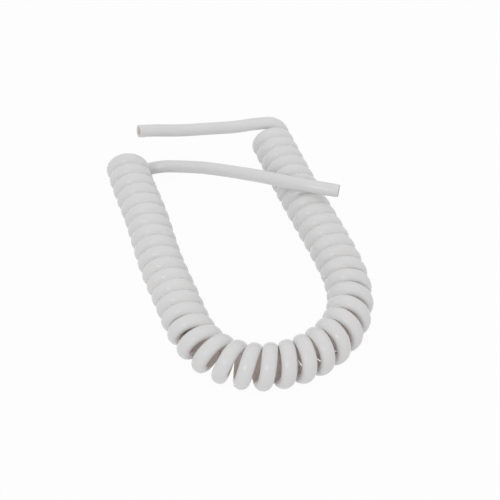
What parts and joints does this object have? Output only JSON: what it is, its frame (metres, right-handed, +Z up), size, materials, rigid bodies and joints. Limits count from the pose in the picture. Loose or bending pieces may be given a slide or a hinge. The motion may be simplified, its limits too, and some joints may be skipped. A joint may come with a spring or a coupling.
{
  "type": "coiled vacuum hose",
  "caption": "White small-bore plastic vacuum hose wound into a springy close coil that lies in a U, with a bare straight tail at each end.",
  "frame": {"origin": "middle of the hose's plan, on the surface that it lies on", "axes": "+Z up from the surface, +Y along the U towards its open mouth, +X towards the arm that the near tail lies on"},
  "size_m": [0.147, 0.1862, 0.0315],
  "materials": {
    "coil": "semi-gloss white, as extruded",
    "near_tail": "semi-gloss white, as extruded",
    "far_tail": "semi-gloss white, as extruded"
  },
  "bodies": {
    "root": {"coil": "coil", "near_tail": "near_tail", "far_tail": "far_tail"}
  },
  "joints": []
}
